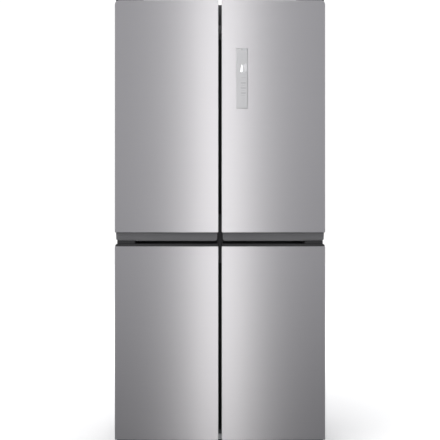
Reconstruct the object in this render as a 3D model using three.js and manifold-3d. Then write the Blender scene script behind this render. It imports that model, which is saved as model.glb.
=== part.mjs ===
// A free-standing french door refrigerator with four doors, drawn as the assembly of its real pieces.
// Millimetres, +Z up. The doors face -Y, +X is the viewer's right, and z = 0 is the floor.

import * as THREE from 'three';
import { mergeVertices } from 'three/addons/utils/BufferGeometryUtils.js';
import Module from 'manifold-3d';

const wasm = await Module();
wasm.setup();

// ---- driving dimensions -------------------------------------------------------------------------

const fit = 0.4; // gap left between pieces that touch
const sheet = 0.8; // painted or stainless steel sheet
const plastic = 2.5; // moulded plastic wall

const halfWidth = 395;
const front = -350; // the doors' foremost point, at the centre line
const rear = 350;
const crown = 5; // how far the doors' outer edges stand behind their inner edges
const centreGap = 12.8; // between the left and right doors

const doorBack = -276; // rear face of the doors' inner panels
const cabinetFront = -263;
const cabinetBottom = 50;
const cabinetTop = 1722;

const lowerDoor = { bottom: 70, steelTop: 796, top: 806 };
const upperDoor = { bottom: 816, steelBottom: 848, top: 1720 };

const wall = 50; // cabinet side wall, with its foam
const fridgeCavity = { x: halfWidth - wall, back: 275, bottom: 846, top: 1667 };
const freezerCavity = { xIn: 25, xOut: halfWidth - wall, back: 275, bottom: 135, top: 776 };
const compressorStep = { y: 128, z: 330 }; // the freezer cavities' floor rises over the compressor

const pivot = { x: 375, y: -310 }; // the doors' vertical hinge line on the right side
const pinRadius = 6;
const pinHole = 6.5;

const inner = centreGap / 2; // a door's inner edge
const cornerRadius = 17; // upper doors' top outer corners
const edgeRadius = 5; // the folded vertical edges of a door skin
const arcSteps = 3; // chords in each arc of an outline
const round = 20; // facets round a pin or a hole

// ---- materials ----------------------------------------------------------------------------------

const finish = {
  steel: { color: 0xc9c8ca, metalness: 1, roughness: 0.32 },
  darkTrim: { color: 0x58585c, metalness: 0.2, roughness: 0.45 },
  blackTrim: { color: 0x1c1b1e, metalness: 0, roughness: 0.5 },
  display: { color: 0xc4c4c8, metalness: 0.6, roughness: 0.2 },
  cabinet: { color: 0x8a8b8e, metalness: 0.4, roughness: 0.5 },
  galvanised: { color: 0xa3a6a8, metalness: 0.9, roughness: 0.5 },
  liner: { color: 0xf2f3f4, metalness: 0, roughness: 0.35 },
  gasket: { color: 0x6a6a6d, metalness: 0, roughness: 0.8 },
  clear: { color: 0xdfe8ec, metalness: 0, roughness: 0.1, transparent: true, opacity: 0.45 },
  glass: { color: 0xd2e4df, metalness: 0, roughness: 0.05, transparent: true, opacity: 0.4 },
  hinge: { color: 0x77787b, metalness: 0.8, roughness: 0.4 },
  compressor: { color: 0x1b1c1e, metalness: 0.4, roughness: 0.5 },
  copper: { color: 0x2a2b2d, metalness: 0.5, roughness: 0.5 },
  fins: { color: 0xc3c7ca, metalness: 0.9, roughness: 0.4 },
  foot: { color: 0x2b2b2d, metalness: 0, roughness: 0.7 },
};

// ---- solids -------------------------------------------------------------------------------------

// A closed three.js geometry as a manifold solid.
function solid(geometry) {
  const bare = geometry.clone();
  bare.deleteAttribute('normal');
  bare.deleteAttribute('uv');
  const welded = mergeVertices(bare, 1e-4);
  const vertProperties = Float32Array.from(welded.attributes.position.array);
  const triVerts = Uint32Array.from(welded.index.array);
  return new wasm.Manifold(new wasm.Mesh({ numProp: 3, vertProperties, triVerts }));
}

// A manifold solid back as a three.js geometry.
function geometryOf(manifold) {
  const mesh = manifold.getMesh();
  const geometry = new THREE.BufferGeometry();
  geometry.setAttribute('position', new THREE.BufferAttribute(mesh.vertProperties, 3));
  geometry.setIndex(new THREE.BufferAttribute(mesh.triVerts, 1));
  return geometry;
}

const join = (first, ...others) => others.reduce((sum, other) => sum.add(other), first);
const cut = (first, ...others) => others.reduce((rest, other) => rest.subtract(other), first);

function block(x0, x1, y0, y1, z0, z1) {
  const geometry = new THREE.BoxGeometry(x1 - x0, y1 - y0, z1 - z0);
  geometry.translate((x0 + x1) / 2, (y0 + y1) / 2, (z0 + z1) / 2);
  return solid(geometry);
}

function extruded(shape, length, curveSegments = arcSteps) {
  return new THREE.ExtrudeGeometry(shape, { depth: length, bevelEnabled: false, curveSegments });
}

// An outline in x and y, raised from z0 to z1.
function raised(shape, z0, z1) {
  const geometry = extruded(shape, z1 - z0);
  geometry.translate(0, 0, z0);
  return solid(geometry);
}

// An outline in x and z, drawn out from y0 to y1.
function drawnBack(shape, y0, y1) {
  const geometry = extruded(shape, y1 - y0);
  geometry.rotateX(Math.PI / 2);
  geometry.translate(0, y1, 0);
  return solid(geometry);
}

// An outline given as [y, z] points, drawn across from x0 to x1.
function drawnAcross(points, x0, x1) {
  const shape = new THREE.Shape(points.map(([y, z]) => new THREE.Vector2(y, z)));
  const geometry = extruded(shape, x1 - x0);
  geometry.applyMatrix4(new THREE.Matrix4().set(0, 0, 1, x0, 1, 0, 0, 0, 0, 1, 0, 0, 0, 0, 0, 1));
  return solid(geometry);
}

function roundedRectangle(x0, x1, y0, y1, r) {
  const shape = new THREE.Shape();
  shape.moveTo(x0 + r, y0);
  shape.lineTo(x1 - r, y0);
  shape.absarc(x1 - r, y0 + r, r, -Math.PI / 2, 0, false);
  shape.lineTo(x1, y1 - r);
  shape.absarc(x1 - r, y1 - r, r, 0, Math.PI / 2, false);
  shape.lineTo(x0 + r, y1);
  shape.absarc(x0 + r, y1 - r, r, Math.PI / 2, Math.PI, false);
  shape.lineTo(x0, y0 + r);
  shape.absarc(x0 + r, y0 + r, r, Math.PI, 1.5 * Math.PI, false);
  return shape;
}

// A round bar or hole. It stands along z at x = a, y = b. It lies along x at y = a, z = b, or along y
// at x = a, z = b.
function bar(radius, a, b, from, to, axis = 'z', facets = round) {
  const geometry = new THREE.CylinderGeometry(radius, radius, to - from, facets);
  if (axis === 'z') {
    geometry.rotateX(Math.PI / 2);
    geometry.translate(a, b, (from + to) / 2);
  } else if (axis === 'y') {
    geometry.translate(a, (from + to) / 2, b);
  } else {
    geometry.rotateZ(Math.PI / 2);
    geometry.translate((from + to) / 2, a, b);
  }
  return solid(geometry);
}

// ---- the assembly -------------------------------------------------------------------------------

const group = new THREE.Group();
group.name = 'french_door_refrigerator';

// Adds one named piece. A piece on the left is the right one mirrored in x = 0.
function add(name, piece, material, side = 1) {
  const geometry = geometryOf(piece);
  if (side < 0) {
    geometry.scale(-1, 1, 1);
    const index = geometry.index.array;
    for (let i = 0; i < index.length; i += 3) {
      [index[i], index[i + 1]] = [index[i + 1], index[i]];
    }
  }
  const flat = geometry.toNonIndexed();
  flat.computeVertexNormals();
  const mesh = new THREE.Mesh(flat, new THREE.MeshStandardMaterial(finish[material]));
  mesh.name = name;
  group.add(mesh);
}

// ---- doors (all drawn on the right side, x > 0) -------------------------------------------------

// The y of a door's front surface at x: one shallow arc shared by the left and right doors.
const crownRadius = (halfWidth ** 2 + crown ** 2) / (2 * crown);
const frontAt = (x) => front + crownRadius - Math.sqrt(crownRadius ** 2 - x ** 2);

const skinBack = doorBack - plastic - fit; // the skin's folded lips lie in front of the liner's flange
const lip = 12;

// A door seen from above: the crowned front between two rounded edges, set in by `inset`.
function doorPlan(inset, back) {
  const x0 = inner + inset;
  const x1 = halfWidth - inset;
  const r = edgeRadius - inset;
  const shape = new THREE.Shape();
  const y0 = frontAt(x0 + r) + inset;
  const y1 = frontAt(x1 - r) + inset;
  const reach = crownRadius - inset;
  const centreY = front + crownRadius;
  const angleAt = (x) => -Math.PI / 2 + Math.asin(x / reach);
  shape.moveTo(x0, back);
  shape.lineTo(x0, y0 + r);
  shape.absarc(x0 + r, y0 + r, r, Math.PI, 1.5 * Math.PI, false);
  shape.absarc(0, centreY, reach, angleAt(x0 + r), angleAt(x1 - r), false);
  shape.absarc(x1 - r, y1 + r, r, -Math.PI / 2, 0, false);
  shape.lineTo(x1, back);
  shape.closePath();
  return shape;
}

// What lies outside a rounded top outer corner of the doors, to be cut away.
function outerCorner(x, z, radius) {
  const spare = 2;
  const shape = new THREE.Shape();
  shape.moveTo(x, z - radius);
  shape.absarc(x - radius, z - radius, radius, 0, Math.PI / 2, false);
  shape.lineTo(x - radius, z + spare);
  shape.lineTo(x + spare, z + spare);
  shape.lineTo(x + spare, z - radius);
  shape.closePath();
  return drawnBack(shape, front - 10, doorBack + 10);
}

// The folded steel pan of one door: front, two sides and two narrow lips at the back.
function doorSkin(z0, z1) {
  const outer = raised(doorPlan(0, skinBack), z0, z1);
  const hollow = raised(doorPlan(sheet, skinBack - sheet), z0 - 1, z1 + 1);
  const backOpening = block(inner + lip, halfWidth - lip, skinBack - 2 * sheet, skinBack + 1, z0 - 1, z1 + 1);
  return cut(outer, hollow, backOpening);
}

// The plastic cap that closes a door's end, with the blind hole that takes a hinge pin.
const capHeight = 22;
const pinDepth = 16;

function doorCap(z0, holeFromBelow) {
  const z1 = z0 + capHeight;
  const plan = doorPlan(sheet + fit, skinBack - sheet - fit);
  const holeZ = holeFromBelow ? [z0 - 1, z0 + pinDepth + 1] : [z1 - pinDepth - 1, z1 + 1];
  const rib = 6;
  const foamSide = holeFromBelow ? [z0 + rib, z1 + 1] : [z0 - 1, z1 - rib];
  const lightening = block(inner + 30, pivot.x - 25, front + 20, skinBack - 12, ...foamSide);
  return cut(raised(plan, z0, z1), bar(pinHole, pivot.x, pivot.y, ...holeZ), lightening);
}

// The grip trim under an upper door: a band that slants down and back, and a finger pocket behind it.
const gripSide = 4; // the trims stop short of the doors' edges
const band = { topY: -340, bottomY: -318, lipDepth: 5 };
const pocket = { x0: inner + 18, x1: 345, y0: -312, y1: -287 };

function upperGripTrim() {
  const z0 = upperDoor.bottom;
  const z1 = upperDoor.steelBottom - fit;
  const y1 = skinBack - sheet - fit;
  const outline = [
    [band.topY, z1],
    [band.topY, z1 - 3],
    [band.bottomY, z0],
    [y1, z0],
    [y1, z1],
  ];
  const pocketRoof = z1 - plastic;
  return cut(
    drawnAcross(outline, inner + gripSide, halfWidth - gripSide),
    block(pocket.x0, pocket.x1, pocket.y0, pocket.y1, z0 - 1, pocketRoof),
    bar(pinHole, pivot.x, pivot.y, z0 - 1, z0 + pinDepth + 1)
  );
}

// The grip trim on top of a lower door: a bevelled lip, and a finger trough behind it.
const trough = { y0: -334, y1: -292, depth: 30 };

function lowerGripTrim() {
  const top = lowerDoor.top;
  const seam = lowerDoor.steelTop + fit;
  const bottom = top - trough.depth - 4;
  const face = front + crown + sheet + fit; // behind the skin's front at its outer end
  const outline = [
    [face, seam],
    [face + 6, top],
    [skinBack - sheet - fit, top],
    [skinBack - sheet - fit, bottom],
    [trough.y0 - 6, bottom],
    [trough.y0 - 6, seam],
  ];
  const x1 = halfWidth - sheet - fit;
  return cut(
    drawnAcross(outline, inner + sheet + fit, x1),
    block(pocket.x0, pocket.x1, trough.y0, trough.y1, top - trough.depth, top + 1),
    bar(pinHole, pivot.x, pivot.y, top - pinDepth - 1, top + 1),
    outerCorner(x1, top, 9)
  );
}

// A door's moulded inner panel: a flange all round, and a raised ridge that holds the bins.
const ridge = { x0: 48, x1: 338, width: 16, rear: -240 };
const flangeInset = 8;

function doorLiner(z0, z1, ridgeZ0, ridgeZ1) {
  const outline = roundedRectangle(inner + flangeInset, halfWidth - flangeInset, z0, z1, 6);
  const plate = drawnBack(outline, doorBack - plastic, doorBack);
  const w = ridge.width;
  const frame = cut(
    block(ridge.x0, ridge.x1, doorBack - 1, ridge.rear, ridgeZ0, ridgeZ1),
    block(ridge.x0 + w, ridge.x1 - w, doorBack - 2, ridge.rear + 1, ridgeZ0 + w, ridgeZ1 - w)
  );
  return plate.add(frame);
}

// The magnetic gasket: one closed loop between the door's flange and the cabinet's front.
const seal = { x0: 10, x1: 371, width: 18 };

function gasket(z0, z1) {
  const shape = roundedRectangle(seal.x0, seal.x1, z0, z1, 8);
  const w = seal.width;
  shape.holes.push(roundedRectangle(seal.x0 + w, seal.x1 - w, z0 + w, z1 - w, 3));
  return drawnBack(shape, doorBack + 0.3, cabinetFront - 0.3);
}

// A door bin: an open tray on the door's inner panel, its free end kept clear of the centre post.
const bin = { x0: 76, x1: 320, y0: doorBack + 0.5, y1: -166, corner: 4 };

function doorBin(z0, height) {
  const outer = raised(roundedRectangle(bin.x0, bin.x1, bin.y0, bin.y1, bin.corner), z0, z0 + height);
  const hollowPlan = roundedRectangle(
    bin.x0 + plastic, bin.x1 - plastic, bin.y0 + plastic, bin.y1 - plastic, bin.corner - plastic);
  const hollow = raised(hollowPlan, z0 + plastic, z0 + height + 1);
  return cut(outer, hollow);
}

const binHeights = [
  ['low', 892, 120],
  ['mid', 1165, 105],
  ['high', 1420, 95],
];

function addUpperDoor(side, label) {
  const name = (piece) => `${label}_${piece}`;
  const { bottom, steelBottom, top } = upperDoor;
  const roundCorner = outerCorner(halfWidth, top, cornerRadius);
  const capCorner = outerCorner(halfWidth - sheet - fit, top, cornerRadius - sheet - fit);
  let skin = doorSkin(steelBottom, top).subtract(roundCorner);
  if (side > 0) {
    skin = cut(skin, drawnBack(displayOutline(fit), front - 1, front + 20));
  }
  add(name('skin'), skin, 'steel', side);
  add(name('top_cap'), doorCap(top - capHeight, false).subtract(capCorner), 'blackTrim', side);
  add(name('grip_trim'), upperGripTrim(), 'darkTrim', side);
  add(name('liner'), doorLiner(bottom + 14, top - 10, 866, 1652), 'liner', side);
  add(name('gasket'), gasket(bottom + 18, top - 14), 'gasket', side);
  for (const [level, z, height] of binHeights) {
    add(name(`bin_${level}`), doorBin(z, height), 'clear', side);
  }
}

function addLowerDoor(side, label) {
  const name = (piece) => `${label}_${piece}`;
  const { bottom, steelTop, top } = lowerDoor;
  add(name('skin'), doorSkin(bottom, steelTop), 'steel', side);
  add(name('grip_trim'), lowerGripTrim(), 'darkTrim', side);
  add(name('bottom_cap'), doorCap(bottom, true), 'blackTrim', side);
  add(name('liner'), doorLiner(bottom + 6, top - 14, 158, 752), 'liner', side);
  add(name('gasket'), gasket(bottom + 10, top - 18), 'gasket', side);
}

// The touch display: a narrow plate let into the upper right skin.
const display = { x0: 61, x1: 104, z0: 1313, z1: 1538, thickness: 4 };

function displayOutline(grow = 0) {
  return roundedRectangle(
    display.x0 - grow, display.x1 + grow, display.z0 - grow, display.z1 + grow, 2.5 + grow);
}

function addDisplay() {
  const face = frontAt(display.x0) + 0.3;
  add('display_panel', drawnBack(displayOutline(), face, face + display.thickness), 'display');
}

// ---- cabinet ------------------------------------------------------------------------------------

const shellFront = cabinetFront + 8.5;

function addShell() {
  const outer = roundedRectangle(-halfWidth, halfWidth, cabinetBottom - 20, cabinetTop, 6);
  const inside = roundedRectangle(
    -halfWidth + sheet, halfWidth - sheet, cabinetBottom - 40, cabinetTop - sheet, 6 - sheet);
  const below = block(-halfWidth - 1, halfWidth + 1, shellFront - 1, rear + 1, 0, cabinetBottom);
  add('cabinet_shell', cut(drawnBack(outer, shellFront, rear),
    drawnBack(inside, shellFront - 1, rear + 1), below), 'cabinet');
}

// The frame round the compartments' mouths, with the centre post between the upper doors.
const post = { half: 32, rear: -225 };
const frameThick = 8;

function addFrontFrame() {
  const face = cabinetFront;
  const back = face + frameThick;
  const x = halfWidth - fit;
  const plate = drawnBack(
    roundedRectangle(-x, x, cabinetBottom + 24, cabinetTop - fit, 5), face, back);
  const { x: fx, bottom, top } = fridgeCavity;
  const mouths = [-1, 1].flatMap((side) => {
    const near = Math.min(side * post.half, side * fx);
    const far = Math.max(side * post.half, side * fx);
    const low = Math.min(side * freezerCavity.xIn, side * freezerCavity.xOut);
    const high = Math.max(side * freezerCavity.xIn, side * freezerCavity.xOut);
    return [
      block(near, far, face - 1, back + 1, bottom, top),
      block(low, high, face - 1, back + 1, freezerCavity.bottom, freezerCavity.top),
    ];
  });
  const postBody = block(-post.half, post.half, back - 1, post.rear, bottom + 2, top - 2);
  const nearRim = block(-halfWidth, halfWidth, shellFront - 1, back + 1, cabinetBottom, cabinetTop);
  const insideShell = block(-halfWidth + sheet + fit, halfWidth - sheet - fit, shellFront - 2, back + 2,
    cabinetBottom, cabinetTop - sheet - fit);
  add('front_frame', cut(plate, ...mouths, cut(nearRim, insideShell)).add(postBody), 'darkTrim');
}

const linerFront = cabinetFront + frameThick + fit;
const linerWall = 2;
const shelfLevels = [1130, 1350];
const crisperCoverZ = 1030;
const ledge = { y0: -150, y1: 240, reach: 8, height: 6 };
const crisper = { x0: 6, x1: fridgeCavity.x - 4, front: -128, back: 258, z0: 852, z1: 1016 };
const freezerDrawers = [
  ['low', { front: -200, back: 118, z0: 141, z1: 440 }],
  ['high', { front: -200, back: 262, z0: 462, z1: 762 }],
];

// A ledge moulded on a compartment's wall, with its top at z. It reaches from the wall towards `way`.
function ledgeSolid(wallX, way, y0, y1, z) {
  const a = wallX - way * 0.5;
  const b = wallX + way * ledge.reach;
  return block(Math.min(a, b), Math.max(a, b), y0, y1, z - ledge.height, z);
}

function addFridgeLiner() {
  const { x, back, bottom, top } = fridgeCavity;
  const w = linerWall;
  const outer = block(-x - w, x + w, linerFront, back + w, bottom - w, top + w);
  const cavity = block(-x, x, linerFront - 1, back, bottom, top);
  const ledges = [...shelfLevels, crisperCoverZ].flatMap((z) => [-1, 1].map((side) =>
    ledgeSolid(side * x, -side, ledge.y0, ledge.y1, z)));
  const runners = [-1, 1].flatMap((side) => [crisper.x0 + 6, crisper.x1 - 6 - ledge.reach].map((near) => {
    const x0 = side > 0 ? near : -near - ledge.reach;
    return block(x0, x0 + ledge.reach, crisper.front + 8, crisper.back - 8, bottom - 0.5, crisper.z0 - fit);
  }));
  add('fridge_liner', join(cut(outer, cavity), ...ledges, ...runners), 'liner');
}

// One freezer cavity seen from the side, grown by `grow` all round.
function freezerProfile(grow, open) {
  const { back, bottom, top } = freezerCavity;
  return [
    [linerFront - open, bottom - grow],
    [compressorStep.y + grow, bottom - grow],
    [compressorStep.y + grow, compressorStep.z - grow],
    [back + grow, compressorStep.z - grow],
    [back + grow, top + grow],
    [linerFront - open, top + grow],
  ];
}

function addFreezerLiner() {
  const { xIn, xOut, bottom, top } = freezerCavity;
  const w = linerWall;
  const profileIn = [
    [linerFront - 1, bottom],
    [compressorStep.y - w, bottom],
    [compressorStep.y - w, compressorStep.z + w],
    [freezerCavity.back, compressorStep.z + w],
    [freezerCavity.back, top],
    [linerFront - 1, top],
  ];
  const outer = freezerProfile(w, 0);
  outer[1] = [compressorStep.y, bottom - w];
  outer[2] = [compressorStep.y, compressorStep.z];
  outer[3] = [freezerCavity.back + w, compressorStep.z];
  const shells = [-1, 1].map((side) => {
    const a = side * xIn;
    const b = side * xOut;
    const lo = Math.min(a, b);
    const hi = Math.max(a, b);
    return cut(drawnAcross(outer, lo - w, hi + w), drawnAcross(profileIn, lo, hi));
  });
  const bridge = block(-xIn, xIn, linerFront, linerFront + w, bottom, top);
  const runners = freezerDrawers.flatMap(([, { front: y0, back: y1, z0 }]) =>
    [[xIn, 1], [xOut, -1], [-xIn, -1], [-xOut, 1]].map(([wallX, way]) =>
      ledgeSolid(wallX, way, y0 + 10, y1 - 10, z0 - fit)));
  add('freezer_liner', join(...shells, bridge, ...runners), 'liner');
}

function addBackPanel() {
  const x = halfWidth - sheet - fit;
  const outline = roundedRectangle(-x, x, compressorStep.z + 10, cabinetTop - sheet - fit, 6);
  add('back_panel', drawnBack(outline, rear - 4, rear - 4 + sheet), 'galvanised');
}

// The louvred cover of the machine compartment, with the round gland that the mains lead comes out of.
const gland = { x: -350, z: 84, radius: 11, bore: 4.5 };

function addMachineCover() {
  const x = halfWidth - sheet - fit;
  const z1 = compressorStep.z + 8;
  const slots = [];
  for (let row = 0; row < 6; row += 1) {
    const z = 120 + row * 22;
    for (const side of [-1, 1]) {
      const a = side * 60;
      const b = side * 330;
      slots.push(block(Math.min(a, b), Math.max(a, b), rear - 6, rear, z, z + 8));
    }
  }
  const plate = block(-x, x, rear - 5, rear - 3.2, 52, z1);
  const collar = bar(gland.radius, gland.x, gland.z, rear - 4, rear - 0.2, 'y');
  const hole = bar(gland.bore, gland.x, gland.z, rear - 6, rear + 1, 'y');
  add('machine_cover', cut(plate.add(collar), hole, ...slots), 'galvanised');
}

// ---- base, feet and rollers ---------------------------------------------------------------------

const base = { front: -261, back: 330, z: 51, lipTop: 72 };
const foot = { x: 340, y: -220, radius: 22, stem: 5, hole: 6 };
const roller = { x: 330, y: 290, radius: 21, width: 24, axle: 4, bore: 4.4 };
const earThick = 3;
const earGap = 1;

function addBasePan() {
  const x = halfWidth - sheet - fit;
  const t = 1.5;
  const tray = cut(
    block(-x, x, base.front, base.back, base.z, base.lipTop),
    block(-x + t, x - t, base.front + t, base.back + 1, base.z + t, base.lipTop + 1)
  );
  const holes = [-1, 1].map((side) => bar(foot.hole, side * foot.x, foot.y, base.z - 1, base.z + t + 1));
  const brackets = [-1, 1].flatMap((side) => {
    const centre = side * roller.x;
    const reach = roller.width / 2 + earGap;
    const ears = [-1, 1].map((end) => {
      const a = centre + end * reach;
      const b = a + end * earThick;
      return block(Math.min(a, b), Math.max(a, b), roller.y - 12, roller.y + 12, 10, base.z + 0.5);
    });
    return [...ears, bar(roller.axle, roller.y, roller.radius, centre - reach - 1, centre + reach + 1, 'x')];
  });
  add('base_pan', cut(join(tray, ...brackets), ...holes), 'galvanised');
}

// A levelling foot: a wide pad on a threaded stem that turns in the base pan.
function footSolid(side) {
  const profile = [
    [0, 0],
    [foot.radius - 2, 0],
    [foot.radius, 3],
    [foot.radius, 10],
    [12, 15],
    [10, 24],
    [foot.stem, 24],
    [foot.stem, 68],
    [0, 68],
  ].map(([r, z]) => new THREE.Vector2(r, z));
  const geometry = new THREE.LatheGeometry(profile, round);
  geometry.rotateX(Math.PI / 2);
  geometry.translate(side * foot.x, foot.y, 0);
  return solid(geometry);
}

function addFeetAndRollers() {
  for (const [side, label] of [[-1, 'left'], [1, 'right']]) {
    add(`foot_${label}`, footSolid(side), 'foot');
    const from = side * roller.x - roller.width / 2;
    const to = side * roller.x + roller.width / 2;
    const wheel = cut(
      bar(roller.radius, roller.y, roller.radius, from, to, 'x', 2 * round),
      bar(roller.bore, roller.y, roller.radius, from - 1, to + 1, 'x')
    );
    add(`roller_${label}`, wheel, 'foot');
  }
}

// The ventilated plinth under the doors, hung from the base pan's front edge.
function addPlinth() {
  const x = halfWidth - 7;
  const y0 = base.front - 7;
  const profile = [[y0, 12], [y0 + 3, 12], [y0 + 3, 46], [y0 + 30, 46], [y0 + 30, 49], [y0, 49]];
  const slots = [];
  for (let i = -12; i <= 12; i += 1) {
    slots.push(block(i * 24 - 9, i * 24 + 9, y0 - 1, y0 + 4, 20, 38));
  }
  add('plinth', cut(drawnAcross(profile, -x, x), ...slots), 'blackTrim');
}

// ---- machine compartment and cold side ----------------------------------------------------------

function addCompressor() {
  const centre = { x: 190, y: 240 };
  const floor = base.z + 1.5 + fit;
  const can = [
    [0, 18], [56, 18], [72, 32], [76, 60], [76, 120], [70, 146], [50, 164], [20, 172], [0, 172],
  ].map(([r, z]) => new THREE.Vector2(r, z));
  const geometry = new THREE.LatheGeometry(can, round);
  geometry.rotateX(Math.PI / 2);
  geometry.translate(centre.x, centre.y, floor);
  const plate = block(centre.x - 90, centre.x + 90, centre.y - 60, centre.y + 60, floor + 14, floor + 22);
  const mounts = [-1, 1].flatMap((a) => [-1, 1].map((b) =>
    bar(11, centre.x + a * 74, centre.y + b * 45, floor, floor + 16, 'z', 16)));
  const relay = block(centre.x - 104, centre.x - 60, centre.y - 25, centre.y + 25, floor + 70, floor + 130);
  add('compressor', join(solid(geometry), plate, relay, ...mounts), 'compressor');
}

// A flat coil in the plane z and x: one bent tube with `turns` straight runs.
function serpentine(x0, x1, y, z0, pitch, turns, radius) {
  const path = new THREE.CurvePath();
  const bend = pitch / 2;
  for (let i = 0; i < turns; i += 1) {
    const z = z0 + i * pitch;
    const forward = i % 2 === 0;
    const from = new THREE.Vector3(forward ? x0 : x1, y, z);
    const to = new THREE.Vector3(forward ? x1 : x0, y, z);
    path.add(new THREE.LineCurve3(from, to));
    if (i < turns - 1) {
      const end = forward ? x1 : x0;
      const out = (forward ? 1 : -1) * bend * 1.33;
      path.add(new THREE.CubicBezierCurve3(
        new THREE.Vector3(end, y, z), new THREE.Vector3(end + out, y, z),
        new THREE.Vector3(end + out, y, z + pitch), new THREE.Vector3(end, y, z + pitch)));
    }
  }
  const section = new THREE.Shape();
  section.absarc(0, 0, radius, 0, 2 * Math.PI, false);
  const steps = turns * 9;
  return solid(new THREE.ExtrudeGeometry(section, { steps, curveSegments: 3, extrudePath: path }));
}

function addCoils() {
  add('condenser_coil', serpentine(-310, -40, 235, 80, 30, 7, 3), 'copper');
  const fins = { x0: -300, x1: 300, y0: freezerCavity.back + 4, y1: freezerCavity.back + 34, z0: 420, z1: 640 };
  const core = block(fins.x0, fins.x1, fins.y0, fins.y1, fins.z0, fins.z1);
  const slits = [];
  for (let x = fins.x0 + 10; x < fins.x1 - 30; x += 50) {
    slits.push(block(x, x + 40, fins.y0 - 1, fins.y1 - 4, fins.z0 - 1, fins.z1 + 1));
  }
  add('evaporator', cut(core, ...slits), 'fins');
}

// The cold air duct on the fridge compartment's back wall, with outlets and a lamp lens.
function addAirDuct() {
  const back = fridgeCavity.back - fit;
  const shape = roundedRectangle(-110, 110, 1060, 1640, 12);
  const body = drawnBack(shape, back - 22, back);
  const outlets = [1180, 1400, 1560].flatMap((z) => [-1, 1].map((side) =>
    block(side * 55 - 32, side * 55 + 32, back - 23, back - 14, z, z + 14)));
  const lens = drawnBack(roundedRectangle(-28, 28, 1260, 1330, 8), back - 26, back - 21);
  add('air_duct', cut(body, ...outlets).add(lens), 'liner');
}

// ---- shelves and drawers ------------------------------------------------------------------------

const shelf = { front: -148, back: 240, thick: 4, rim: 14 };

function shelfSolid(z, back) {
  const x = fridgeCavity.x - 3;
  const z0 = z + fit;
  const glass = block(-x, x, shelf.front, back, z0, z0 + shelf.thick);
  const rim = block(-x, x, shelf.front, shelf.front + 12, z0, z0 + shelf.rim);
  const stop = block(-x, x, back - 8, back, z0, z0 + shelf.rim + 4);
  return join(glass, rim, stop);
}

function addShelves() {
  add('shelf_low', shelfSolid(shelfLevels[0], shelf.back), 'glass');
  add('shelf_high', shelfSolid(shelfLevels[1], shelf.back), 'glass');
  add('crisper_cover', shelfSolid(crisperCoverZ, shelf.back), 'glass');
}

// An open drawer with a thicker front panel that leans on the user's side.
function drawer(x0, x1, y0, y1, z0, z1) {
  const w = plastic;
  const drop = 18; // the sides are this much lower than the front panel
  const tray = block(x0, x1, y0 + 2, y1, z0, z1 - drop);
  const face = block(x0, x1, y0, y0 + 8, z0, z1);
  const hollow = block(x0 + w, x1 - w, y0 + 8, y1 - w, z0 + w, z1 + 1);
  const middle = (x0 + x1) / 2;
  const grip = block(middle - 55, middle + 55, y0 - 1, y0 + 5, z1 - 34, z1 - 12);
  return cut(join(tray, face), hollow, grip);
}

function addDrawers() {
  for (const [side, label] of [[-1, 'left'], [1, 'right']]) {
    const box = drawer(crisper.x0, crisper.x1, crisper.front, crisper.back, crisper.z0, crisper.z1);
    add(`crisper_${label}`, box, 'clear', side);
    for (const [level, { front: y0, back, z0, z1 }] of freezerDrawers) {
      const piece = drawer(freezerCavity.xIn + 4, freezerCavity.xOut - 4, y0, back, z0, z1);
      add(`freezer_drawer_${label}_${level}`, piece, 'clear', side);
    }
  }
}

// ---- hinges -------------------------------------------------------------------------------------

const plateX = { x0: 322, x1: 389 };
const middlePlate = { x0: 319, x1: 387, half: 4.4 }; // it fills the gap between the upper and lower doors

function topHinge() {
  const z0 = cabinetTop + fit;
  const plate = raised(roundedRectangle(330, 389, pivot.y - 14, -175, 8), z0, z0 + 4);
  const pin = bar(pinRadius, pivot.x, pivot.y, upperDoor.top - pinDepth, z0 + 1);
  const screws = [-235, -205].map((y) => bar(6, 350, y, z0 + 3, z0 + 7, 'z', 12));
  return join(plate, pin, ...screws);
}

// The small hood over a top hinge and its wiring.
function topHingeCover() {
  const x = { x0: 296, x1: 393 };
  const y = { y0: pivot.y - 24, y1: -150 };
  const z0 = cabinetTop + fit;
  const height = 1750 - z0;
  const w = plastic;
  const outer = raised(roundedRectangle(x.x0, x.x1, y.y0, y.y1, 12), z0, z0 + height);
  const hollow = raised(roundedRectangle(x.x0 + w, x.x1 - w, y.y0 + w, y.y1 - w, 12 - w),
    z0 - 1, z0 + height - w);
  return cut(outer, hollow);
}

function middleHinge() {
  const middle = (upperDoor.bottom + lowerDoor.top) / 2;
  const { x0, x1, half } = middlePlate;
  const plate = raised(roundedRectangle(x0, x1, front + 12, cabinetFront - fit, 4),
    middle - half, middle + half);
  const leg = block(plateX.x0, plateX.x1, cabinetFront - 3.5, cabinetFront - fit, 798, 824);
  const pin = bar(pinRadius, pivot.x, pivot.y, middle - 2 - pinDepth, middle + 2 + pinDepth);
  return join(plate, leg, pin);
}

function bottomHinge() {
  const z1 = lowerDoor.bottom - 3;
  const plate = raised(roundedRectangle(plateX.x0, plateX.x1, pivot.y - 16, base.front - 8, 6), z1 - 5, z1);
  const leg = block(plateX.x0, plateX.x1, base.front - 9, base.front - fit, 52, z1);
  const pin = bar(pinRadius, pivot.x, pivot.y, z1 - 1, z1 + pinDepth);
  return join(plate, leg, pin);
}

function addHinges() {
  for (const [side, label] of [[-1, 'left'], [1, 'right']]) {
    add(`top_hinge_${label}`, topHinge(), 'hinge', side);
    add(`top_hinge_cover_${label}`, topHingeCover(), 'blackTrim', side);
    add(`middle_hinge_${label}`, middleHinge(), 'hinge', side);
    add(`bottom_hinge_${label}`, bottomHinge(), 'hinge', side);
  }
}

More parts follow.
